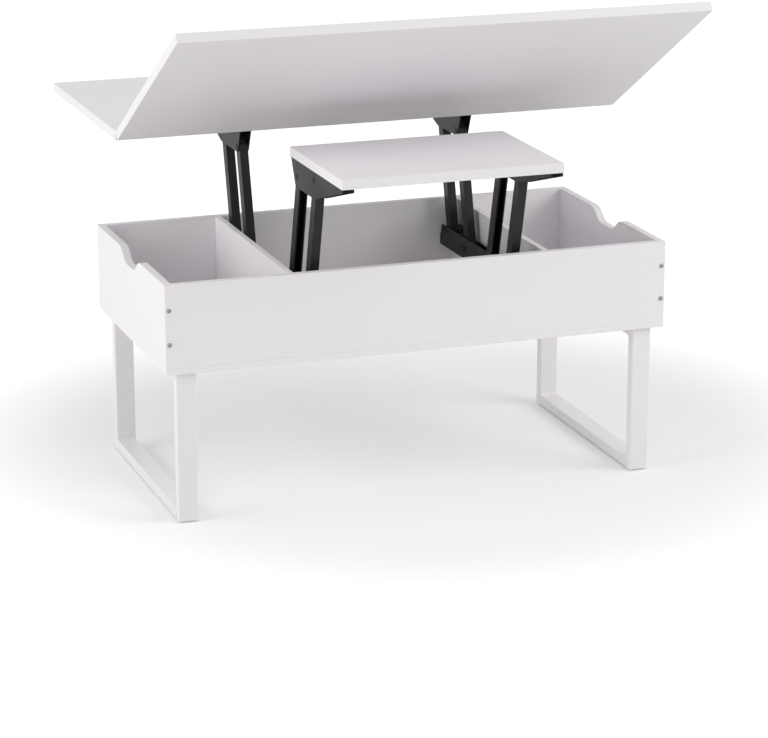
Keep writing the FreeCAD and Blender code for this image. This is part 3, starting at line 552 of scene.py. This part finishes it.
def soften(piece, radius, segments=3):
    """Round every sharp edge of a piece and shade the rounds smooth and the flats flat."""
    modify(piece, "BEVEL", width=radius, segments=segments, limit_method="ANGLE",
           angle_limit=ROUND_FROM)
    select_only(piece)
    bpy.ops.object.mode_set(mode="EDIT")
    bpy.ops.mesh.select_all(action="SELECT")
    bpy.ops.mesh.dissolve_degenerate(threshold=SAME_CORNER)
    bpy.ops.object.mode_set(mode="OBJECT")
    bpy.ops.object.shade_smooth_by_angle(angle=SMOOTH_ROUNDED)
    modify(piece, "WEIGHTED_NORMAL", keep_sharp=True)


def join(pieces, name):
    """Join pieces into the first of them, which stays selected."""
    bpy.ops.object.select_all(action="DESELECT")
    for piece in pieces:
        piece.select_set(True)
    bpy.context.view_layer.objects.active = pieces[0]
    if len(pieces) > 1:
        bpy.ops.object.join()
    pieces[0].name = name
    pieces[0].data.name = name
    return pieces[0]


def copies(model, places, name):
    """Copy a model to each place, join the copies into one piece and delete the model."""
    made = []
    for place in places:
        copy = model.copy()
        copy.data = model.data.copy()
        copy.data.transform(place)
        bpy.context.collection.objects.link(copy)
        made.append(copy)
    bpy.data.objects.remove(model)
    return join(made, name)


def frame_body(node):
    """The body that a modelled node moves with."""
    return frame["nodes"][node]["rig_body"]


def dress(piece, finish, body, slot, *nodes):
    """Give a finished piece its finish and its body, and let it stand for its nodes."""
    give(piece, bpy.data.materials[finish])
    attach(piece, body)
    if nodes:
        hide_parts(*nodes)


def solids(node):
    """The corner points of each separate solid of a modelled node."""
    mesh = bmesh.new()
    mesh.from_mesh(frame["nodes"][node].data)
    bmesh.ops.remove_doubles(mesh, verts=mesh.verts, dist=SAME_CORNER)
    groups, found = [], set()
    for seed in mesh.verts:
        if seed in found:
            continue
        found.add(seed)
        waiting, group = [seed], []
        while waiting:
            corner = waiting.pop()
            group.append(corner.co.copy())
            near = [edge.other_vert(corner) for edge in corner.link_edges]
            fresh = [other for other in near if other not in found]
            found.update(fresh)
            waiting.extend(fresh)
        groups.append(group)
    mesh.free()
    return groups


def box_of(points):
    """The low and high corners of the box around some points."""
    low = Vector([min(point[axis] for point in points) for axis in (X, Y, Z)])
    high = Vector([max(point[axis] for point in points) for axis in (X, Y, Z)])
    return low, high


def fastener_places(node):
    """For each square-set fastener of a node, the turn and place that take +Z out through its
    head, with the top of the head at the origin, and its length."""
    places = []
    for points in solids(node):
        low, high = box_of(points)
        span = high - low
        middle = (low + high) / 2
        axis = max((X, Y, Z), key=lambda index: span[index])
        end_zone = span[axis] / 20
        reach = {}
        for sign, end in ((-1, low[axis]), (1, high[axis])):
            rim = [point for point in points if abs(point[axis] - end) < end_zone]
            reach[sign] = max((point - middle)[(axis + 1) % 3] for point in rim)
        out = Vector()
        out[axis] = 1 if reach[1] >= reach[-1] else -1
        top = middle + out * span[axis] / 2
        turn = Vector((0, 0, 1)).rotation_difference(out).to_matrix().to_4x4()
        places.append((Matrix.Translation(top) @ turn, span[axis]))
    return places


def soft_copy(node, name, radius):
    """A copy of a modelled node, merged into whole faces, with its sharp edges rounded."""
    piece = bpy.data.objects.new(name, frame["nodes"][node].data.copy())
    bpy.context.collection.objects.link(piece)
    select_only(piece)
    bpy.ops.object.mode_set(mode="EDIT")
    bpy.ops.mesh.select_all(action="SELECT")
    bpy.ops.mesh.remove_doubles(threshold=SAME_CORNER)
    bpy.ops.mesh.dissolve_limited(angle_limit=ONE_FLAT)
    bpy.ops.object.mode_set(mode="OBJECT")
    soften(piece, radius, segments=2)
    return piece


# Boards

class TABLE_OT_boards(bpy.types.Operator):
    """Round the edges of the boards and give them their grain"""
    bl_idname = "table.boards"
    bl_label = "Boards"

    def execute(self, context):
        sizes = context.scene.table_sizes
        for row in frame["record"]["subparts"]:
            if row["material_slot"] == "white_board":
                node = row["node"]
                piece = soft_copy(node, node + "_board", sizes.board_edge)
                finish = "melamine_across" if node in BOARDS_ACROSS else "melamine_along"
                dress(piece, finish, frame_body(node), "white_board", node)
        return {"FINISHED"}


# Fasteners

def cross_screw(name, head, height, shank, span):
    """A domed screw with a cross recess, its head's top at the origin and its point down."""
    dome, point = height * 0.85, span * 0.1
    reach, blade, depth = head * 0.6, head * 0.17, height * 0.7
    # Widths of the point's tip and of the recess's floor, as shares of those above them
    tip, taper = 0.2, 0.45
    screw = start_rod(name, head, -height, 0)
    round_edges(lambda middle, along: middle.z > -height / 4 and lies_across(along, Z), dome)
    pick_underside()
    bpy.ops.mesh.inset(thickness=head - shank)
    pull(height + point - span)
    pull(-point)
    bpy.ops.transform.resize(value=(tip, tip, 1))
    leave(screw)
    for wide, deep in ((reach, blade), (blade, reach)):
        arm = start_box("recess_arm", (-wide, -deep, -depth), (wide, deep, height))
        pick_underside()
        bpy.ops.transform.resize(value=(taper, taper, 1))
        leave(arm)
        modify(screw, "BOOLEAN", operation="DIFFERENCE", solver="EXACT", object=arm)
        bpy.data.objects.remove(arm)
    select_only(screw)
    bpy.ops.object.shade_smooth_by_angle(angle=SMOOTH_TURNED)
    return screw


class TABLE_OT_screws(bpy.types.Operator):
    """Model the cross-head screws of the box, the base channels and the brackets"""
    bl_idname = "table.screws"
    bl_label = "Screws"

    def execute(self, context):
        for kind in SCREWS:
            places, spans = zip(*fastener_places(kind.node))
            model = cross_screw("screw", kind.head, kind.height, kind.shank, spans[0])
            piece = copies(model, places, kind.node + "_detail")
            dress(piece, "zinc_plate", kind.body, "zinc_steel", kind.node)
        return {"FINISHED"}


class TABLE_OT_leg_bolts(bpy.types.Operator):
    """Model the hexagon bolts and washers under the top rails"""
    bl_idname = "table.leg_bolts"
    bl_label = "Leg bolts"

    def execute(self, context):
        sizes = context.scene.table_sizes
        places, spans = zip(*fastener_places("leg_bolts"))
        model = join([self.bolt(sizes, spans[0]), self.washer(sizes)], "bolt")
        piece = copies(model, places, "leg_bolts_detail")
        dress(piece, "zinc_plate", "box", "zinc_steel", "leg_bolts")
        return {"FINISHED"}

    def bolt(self, sizes, span):
        """A hexagon bolt, its head's top at the origin."""
        head, tall = sizes.bolt_head, sizes.bolt_height
        seat = sizes.washer_sheet - tall
        chamfer = 0.12
        to_flats = head * 0.87
        bolt = start_rod("bolt", head, seat, 0, corners=6)
        pick("FACE", lambda middle, normal: faces_up(normal))
        bpy.ops.mesh.inset(thickness=head * chamfer)
        round_edges(lambda middle, along: middle.z > -tall / 4 and lies_across(along, Z)
                    and middle.xy.length > head * 0.8, tall * chamfer, segments=2)
        pick_underside()
        bpy.ops.mesh.inset(thickness=to_flats - sizes.bolt_shank)
        pull(-seat - span)
        return leave(bolt)

    def washer(self, sizes):
        """The washer under a bolt's head."""
        low = -sizes.bolt_height
        washer = start_rod("washer", sizes.washer_rim, low, low + sizes.washer_sheet)
        round_edges(lambda middle, along: lies_across(along, Z), sizes.washer_sheet / 4, segments=2)
        return leave(washer)


class TABLE_OT_rivets(bpy.types.Operator):
    """Model the domed rivets on the pivots and stops of the lift arms"""
    bl_idname = "table.rivets"
    bl_label = "Rivets"

    def execute(self, context):
        sizes = context.scene.table_sizes
        rows = (
            ("base_pivot_pins", "box", sizes.rivet_head, sizes.base_dome, False),
            ("stop_pins", "box", sizes.stop_head, sizes.stop_dome, True),
            ("main_bracket_pins", "main_top", sizes.rivet_head, sizes.rivet_dome, True),
            ("inner_bracket_pins", "inner_lift_top", sizes.rivet_head, sizes.rivet_dome, True),
        )
        for node, body, head, dome, both_ends in rows:
            made = []
            for place, span in fastener_places(node):
                rivet = self.rivet(sizes.pin, head, dome, span, both_ends)
                made.append(copies(rivet, [place], "rivet"))
            piece = join(made, node + "_detail")
            bpy.ops.object.shade_smooth_by_angle(angle=SMOOTH_TURNED)
            dress(piece, "black_rivet", body, "black_steel", node)
        return {"FINISHED"}

    def rivet(self, shank, head, dome, span, both_ends):
        """A pin of a given span whose domes stand on its ends, or whose one dome is in the span."""
        top = dome if both_ends else 0
        foot = -span
        rims = [top]
        rivet = start_rod("rivet", head, top - dome, top)
        pick_underside()
        bpy.ops.mesh.inset(thickness=head - shank)
        pull(foot - top + dome)
        if both_ends:
            wider = head / shank
            pull(0)
            bpy.ops.transform.resize(value=(wider, wider, 1), center_override=(0, 0, foot))
            pull(-dome)
            rims.append(foot - dome)
        round_edges(lambda middle, along: lies_across(along, Z) and middle.xy.length > head * 0.9
                    and min(abs(middle.z - rim) for rim in rims) < dome / 4, dome * 0.9)
        return leave(rivet)


# Lift gear

def arm_ends(node, radius):
    """The low and high pivots of a lift arm."""
    low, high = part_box(node)
    across = (low.x + high.x) / 2
    near, far = low.y + radius, high.y - radius
    if "inner" in node:
        near, far = far, near
    return Vector((across, near, low.z + radius)), Vector((across, far, high.z - radius))


class TABLE_OT_lift_arms(bpy.types.Operator):
    """Model the folded channels of the lift arms"""
    bl_idname = "table.lift_arms"
    bl_label = "Lift arms"

    def execute(self, context):
        openings = {"main_rear": 1, "main_front": 1, "inner_rear": -1, "inner_front": 1}
        for side in SIDES:
            for kind, opening in openings.items():
                self.make(context, f"{side}_{kind}_arm", opening)
        return {"FINISHED"}

    def make(self, context, node, opening):
        """One arm, made upright on its low pivot, open to +Y or -Y, and then laid over."""
        sizes = context.scene.table_sizes
        radius = sizes.arm_depth / 2
        # A little short of half the depth, so that the two rounds of an end don't meet
        end_round = radius * 0.999
        low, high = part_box(node)
        foot, head = arm_ends(node, radius)
        half = (high.x - low.x) / 2
        arm = start_box("arm", (-half, -radius, -radius),
                        (half, radius, (head - foot).length + radius))
        round_edges(lambda middle, along: runs_along(along, X), end_round, segments=12)
        inside = radius - sizes.arm_wall
        pick("FACE", lambda middle, normal: lies_across(normal, X) and -opening * middle.y < inside)
        bpy.ops.mesh.delete(type="FACE")
        bpy.ops.object.mode_set(mode="OBJECT")
        modify(arm, "SOLIDIFY", thickness=sizes.arm_wall, offset=-1, use_even_offset=True)
        soften(arm, sizes.arm_fold)
        lean = math.atan2(foot.y - head.y, head.z - foot.z)
        place = Matrix.Translation(foot) @ Matrix.Rotation(lean, 4, "X")
        piece = copies(arm, [place], node + "_channel")
        dress(piece, "black_powder_coat", frame_body(node), "black_steel", node)


class TABLE_OT_brackets(bpy.types.Operator):
    """Model the folded brackets under the two tops"""
    bl_idname = "table.brackets"
    bl_label = "Brackets"

    def execute(self, context):
        for side in SIDES:
            self.make(context, f"{side}_main_bracket", 1)
            self.make(context, f"{side}_inner_bracket", -1)
        return {"FINISHED"}

    def make(self, context, node, lean):
        """One bracket: a box cut to its slopes, opened below and folded from sheet."""
        sizes = context.scene.table_sizes
        low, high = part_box(node)
        toe, tail = (low.y, high.y) if lean > 0 else (high.y, low.y)
        steep = toe + lean * sizes.bracket_toe
        belly = steep + lean * sizes.bracket_belly
        slopes = (((toe, high.z), (steep, low.z)),
                  ((belly, low.z), (tail, high.z - sizes.bracket_tail)))
        bracket = start_box(node + "_channel", low, high)
        for first, last in slopes:
            down = Vector((0, last[1] - first[1], first[0] - last[0])) * lean
            bpy.ops.mesh.select_all(action="SELECT")
            bpy.ops.mesh.bisect(
                plane_co=(0, *first), plane_no=down, use_fill=True, clear_outer=True)
        low_zone = low.z + sizes.bracket_wall
        round_edges(lambda middle, along: runs_along(along, X) and middle.z < low_zone,
                    sizes.bracket_round, segments=5)
        pick("FACE", lambda middle, normal: lies_across(normal, X) and normal.z < ACROSS)
        bpy.ops.mesh.delete(type="FACE")
        bpy.ops.object.mode_set(mode="OBJECT")
        modify(bracket, "SOLIDIFY", thickness=sizes.bracket_wall, offset=-1, use_even_offset=True)
        soften(bracket, sizes.bracket_fold)
        dress(bracket, "black_powder_coat", frame_body(node), "black_steel", node)


class TABLE_OT_base_channels(bpy.types.Operator):
    """Round the folds and rims of the base channels and the spacers"""
    bl_idname = "table.base_channels"
    bl_label = "Base channels"

    def execute(self, context):
        sizes = context.scene.table_sizes
        for side in SIDES:
            node = side + "_lift_base"
            piece = soft_copy(node, node + "_channel", sizes.base_edge)
            dress(piece, "black_powder_coat", "box", "black_steel", node)
        piece = soft_copy("arm_spacers", "arm_spacers_detail", sizes.base_edge)
        dress(piece, "dark_plastic", "box", "dark_plastic", "arm_spacers")
        return {"FINISHED"}


# Leaf hinges

class TABLE_OT_hinges(bpy.types.Operator):
    """Model the brass hinges between the two leaves"""
    bl_idname = "table.hinges"
    bl_label = "Hinges"

    def execute(self, context):
        fold = next(joint for joint in frame["joints"] if joint["name"] == "leaf_fold")
        line = Matrix.Translation(fold["pos_m"])
        opened = line @ Matrix.Rotation(math.radians(-fold["range_deg"][0]), 4, "X")
        middles = [(low.x + high.x) / 2 for low, high in map(box_of, solids("hinge_pins"))]
        rows = (
            ("lower", -1, (0, 2), line, "main_top"),
            ("upper", 1, (1,), opened, "folding_leaf"),
        )
        for leaf, rise, knuckles, place, body in rows:
            places = [place @ Matrix.Translation((middle, 0, 0)) for middle in middles]
            plates = copies(
                self.half(context, rise, knuckles), places, f"{leaf}_hinge_plates_detail")
            dress(plates, "brass_plate", body, "brass_hinge", f"{leaf}_hinge_plates")
            screws = copies(self.screws(context, rise), places, f"{leaf}_hinge_screws_detail")
            dress(screws, "brass_plate", body, "brass_hinge", f"{leaf}_hinge_screws")
        return {"FINISHED"}

    def measures(self):
        """A hinge's width, its plates' height and the depth of a plate's back from the pin."""
        low, high = box_of(solids("hinge_pins")[0])
        plate_low, plate_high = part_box("lower_hinge_plates")
        line = (low + high) / 2
        return high.x - low.x, line.z - plate_low.z, plate_high.y - line.y

    def half(self, context, rise, knuckles):
        """One plate with its knuckles, about the hinge line and in the middle of the table."""
        sizes = context.scene.table_sizes
        width, tall, back = self.measures()
        front = back - sizes.hinge_plate
        low, high = sorted((rise * sizes.knuckle, rise * tall))
        plate = start_box("plate", (-width / 2, front, low), (width / 2, back, high))
        round_edges(lambda middle, along: runs_along(along, Y) and abs(middle.z) > tall * 0.9,
                    sizes.hinge_corner, segments=5)
        pieces = [leave(plate)]
        low, high = sorted((0, rise * (sizes.knuckle + sizes.hinge_plate)))
        step = (width + sizes.hinge_seam) / KNUCKLES
        for index in knuckles:
            left = index * step - width / 2
            right = left + step - sizes.hinge_seam
            barrel = start("barrel", bpy.ops.mesh.primitive_cylinder_add, vertices=28,
                           radius=sizes.knuckle, depth=right - left,
                           rotation=(0, math.pi / 2, 0), location=((left + right) / 2, 0, 0))
            pieces.append(leave(barrel))
            web = start_box("web", (left, front, low), (right, back, high))
            pieces.append(leave(web))
        model = join(pieces, "hinge_half")
        soften(model, sizes.hinge_edge, segments=2)
        return model

    def screws(self, context, rise):
        """The two screws of one plate."""
        sizes = context.scene.table_sizes
        _, tall, back = self.measures()
        model = cross_screw("hinge_screw", sizes.hinge_screw_head, sizes.hinge_screw_height,
                            sizes.hinge_screw_shank, sizes.hinge_screw_length)
        depth = back - sizes.hinge_plate - sizes.hinge_screw_height
        level = rise * (tall + back) / 2
        to_front = Matrix.Rotation(math.pi / 2, 4, "X")
        places = [Matrix.Translation((end * sizes.hinge_screw_offset, depth, level)) @ to_front
                  for end in (-1, 1)]
        return copies(model, places, "hinge_screws")


# Leg frames

class TABLE_OT_leg_welds(bpy.types.Operator):
    """Model the weld fillets in the corners of the leg frames"""
    bl_idname = "table.leg_welds"
    bl_label = "Leg welds"

    def execute(self, context):
        sizes = context.scene.table_sizes
        made = []
        for side in SIDES:
            front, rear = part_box(f"{side}_front_leg"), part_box(f"{side}_rear_leg")
            left, right = front[0].x + sizes.tube_corner, front[1].x - sizes.tube_corner
            for rail, radius, rise in (("top", sizes.top_weld, -1), ("foot", sizes.foot_weld, 1)):
                low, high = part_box(f"{side}_{rail}_rail")
                level = low.z if rise < 0 else high.z
                for corner, into in ((front[1].y, 1), (rear[0].y, -1)):
                    made.append(self.fillet(left, right, corner, into, level, rise, radius))
        piece = join(made, "leg_welds")
        bpy.ops.object.shade_smooth_by_angle(angle=SMOOTH_TURNED)
        dress(piece, "white_powder_coat", "box", "white_tube")
        return {"FINISHED"}

    def fillet(self, left, right, corner, into, level, rise, radius):
        """A hollow fillet along a corner between a leg and a rail."""
        # A low profile makes the round a hollow one, and a thin edge is left on each face
        hollow, edge = 0.12, 0.96
        depths = sorted((corner, corner + into * radius))
        heights = sorted((level, level + rise * radius))
        piece = start_box("fillet", (left, depths[0], heights[0]), (right, depths[1], heights[1]))
        round_edges(
            lambda middle, along: runs_along(along, X) and into * (middle.y - corner) > radius / 2
            and rise * (middle.z - level) > radius / 2,
            radius * edge, segments=8, profile=hollow)
        return leave(piece)


class TABLE_OT_glides(bpy.types.Operator):
    """Model the round glides under the foot rails"""
    bl_idname = "table.glides"
    bl_label = "Glides"

    def execute(self, context):
        boxes = [box_of(points) for points in solids("floor_glides")]
        places = [Matrix.Translation(((low.x + high.x) / 2, (low.y + high.y) / 2, 0))
                  for low, high in boxes]
        low, high = boxes[0]
        rail_low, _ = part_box("left_foot_rail")
        glide = self.glide(high.x - low.x, rail_low.z, high.z)
        piece = copies(glide, places, "floor_glides_detail")
        dress(piece, "dark_plastic", "box", "dark_plastic", "floor_glides")
        return {"FINISHED"}

    def glide(self, wide, thick, top):
        """A disc with a rounded rim and a shallow dish below, and a stem up to a height."""
        rim_round, dish = thick * 0.4, thick * 0.2
        rim, slope, around_stem = wide * 0.12, wide * 0.04, wide * 0.35
        glide = start_rod("glide", wide / 2, 0, thick, corners=48)
        round_edges(lambda middle, along: middle.z < thick / 4 and lies_across(along, Z), rim_round)
        pick("FACE", lambda middle, normal: faces_down(normal, STRAIGHT_ALONG))
        bpy.ops.mesh.inset(thickness=rim)
        bpy.ops.mesh.inset(thickness=slope)
        bpy.ops.transform.translate(value=(0, 0, dish))
        pick("FACE", lambda middle, normal: faces_up(normal) and middle.z > thick * 0.9)
        bpy.ops.mesh.inset(thickness=around_stem)
        pull(top - thick)
        leave(glide)
        bpy.ops.object.shade_smooth_by_angle(angle=SMOOTH_TURNED)
        return glide


# Stage

class TABLE_OT_stage(bpy.types.Operator):
    """Make the floor, the light and the camera"""
    bl_idname = "table.stage"
    bl_label = "Stage"

    def execute(self, context):
        stage = context.scene.table_stage
        self.make_floor(context, stage)
        self.make_light(context, stage)
        self.make_camera(context, stage)
        context.scene.view_settings.view_transform = "Standard"
        return {"FINISHED"}

    def make_floor(self, context, stage):
        """A matt floor with painted light for the camera, weaker near the table, where the floor
        stays greyer, and stronger further off, where it grows white.
        """
        bpy.ops.object.select_all(action="DESELECT")
        bpy.ops.mesh.primitive_plane_add(size=stage.floor_size)
        floor = context.object
        floor.name = "studio_floor"
        material, tree, shader = shader_nodes("studio_floor")
        shader.inputs["Base Color"].default_value = rgba(context.scene.table_finish.floor)
        shader.inputs["Roughness"].default_value = 0.9
        shader.inputs["Specular IOR Level"].default_value = 0.1
        where = add_node(tree, "ShaderNodeTexCoord")
        reach = add_node(tree, "ShaderNodeVectorMath", operation="DISTANCE")
        reach.inputs[1].default_value = stage.fade_centre
        tree.links.new(where.outputs["Object"], reach.inputs[0])
        fade = remap(tree, reach.outputs["Value"], stage.fade_start, stage.fade_end,
                     stage.near_lift, stage.far_lift, interpolation_type="SMOOTHSTEP")
        # Painted light: emission seen by the camera and in reflections, weaker near the table than
        # further off
        lift = work_out(tree, "MULTIPLY", self.seen_directly(tree), fade)
        tree.links.new(lift, shader.inputs["Emission Color"])
        shader.inputs["Emission Strength"].default_value = 1.0
        give(floor, material)

    def seen_directly(self, tree):
        """One for rays from the camera, a reflection or a glass, and nought for other rays."""
        rays = add_node(tree, "ShaderNodeLightPath")
        value = rays.outputs["Is Camera Ray"]
        for other in ("Is Glossy Ray", "Is Transmission Ray"):
            value = work_out(tree, "MAXIMUM", value, rays.outputs[other])
        return value

    def make_light(self, context, stage):
        """A white room, dimmer as a light than as the camera sees it, and two soft lights."""
        world = bpy.data.worlds.new("studio_room")
        context.scene.world = world
        world.use_nodes = True
        tree = world.node_tree
        sky = tree.nodes["Background"]
        sky.inputs["Color"].default_value = (1, 1, 1, 1)
        level = remap(tree, self.seen_directly(tree), 0.0, 1.0, low=stage.room_light)
        tree.links.new(level, sky.inputs["Strength"])
        self.soft_light(context, stage, "key_light", stage.key_energy, stage.key_place)
        self.soft_light(context, stage, "fill_light", stage.fill_energy, stage.fill_place)

    def soft_light(self, context, stage, name, energy, place):
        """A broad lamp that faces the table."""
        lamp = bpy.data.lights.new(name, "AREA")
        lamp.energy = energy
        lamp.shape = "RECTANGLE"
        lamp.size = stage.light_width
        lamp.size_y = stage.light_height
        light = bpy.data.objects.new(name, lamp)
        context.collection.objects.link(light)
        light.location = place
        aim = Vector(stage.light_aim) - light.location
        light.rotation_euler = aim.to_track_quat("-Z", "Y").to_euler()

    def make_camera(self, context, stage):
        """The camera that shows the table from the front, a little from the left and above."""
        camera = bpy.data.objects.new("camera", bpy.data.cameras.new("camera"))
        context.collection.objects.link(camera)
        camera.location = stage.camera_place
        camera.rotation_euler = (math.pi / 2 - stage.camera_tilt, 0, -stage.camera_turn)
        camera.data.sensor_width = SENSOR_WIDTH
        camera.data.lens = stage.lens
        camera.data.clip_end = 100
        context.scene.camera = camera


class TABLE_PT_panel(bpy.types.Panel):
    """Steps that dress the table"""
    bl_idname = "TABLE_PT_panel"
    bl_label = "Convertible Table"
    bl_space_type = "VIEW_3D"
    bl_region_type = "UI"
    bl_category = "Table"

    def draw(self, context):
        for step in STEPS:
            self.layout.operator(step.bl_idname)
        scene = context.scene
        for group in (scene.table_finish, scene.table_sizes, scene.table_stage):
            for name in group.__annotations__:
                self.layout.prop(group, name)


STEPS = (
    TABLE_OT_finishes, TABLE_OT_boards, TABLE_OT_screws, TABLE_OT_leg_bolts, TABLE_OT_rivets,
    TABLE_OT_lift_arms, TABLE_OT_brackets, TABLE_OT_base_channels, TABLE_OT_hinges,
    TABLE_OT_leg_welds, TABLE_OT_glides, TABLE_OT_stage)
CLASSES = (TableFinish, TableSizes, TableStage, *STEPS, TABLE_PT_panel)


def register():
    for item in CLASSES:
        bpy.utils.register_class(item)
    bpy.types.Scene.table_finish = PointerProperty(type=TableFinish)
    bpy.types.Scene.table_sizes = PointerProperty(type=TableSizes)
    bpy.types.Scene.table_stage = PointerProperty(type=TableStage)


def unregister():
    del bpy.types.Scene.table_stage
    del bpy.types.Scene.table_sizes
    del bpy.types.Scene.table_finish
    for item in reversed(CLASSES):
        bpy.utils.unregister_class(item)


def main():
    register()
    bpy.ops.table.finishes()
    bpy.ops.table.boards()
    bpy.ops.table.screws()
    bpy.ops.table.leg_bolts()
    bpy.ops.table.rivets()
    bpy.ops.table.lift_arms()
    bpy.ops.table.brackets()
    bpy.ops.table.base_channels()
    bpy.ops.table.hinges()
    bpy.ops.table.leg_welds()
    bpy.ops.table.glides()
    bpy.ops.table.stage()


if __name__ == "__main__":
    main()
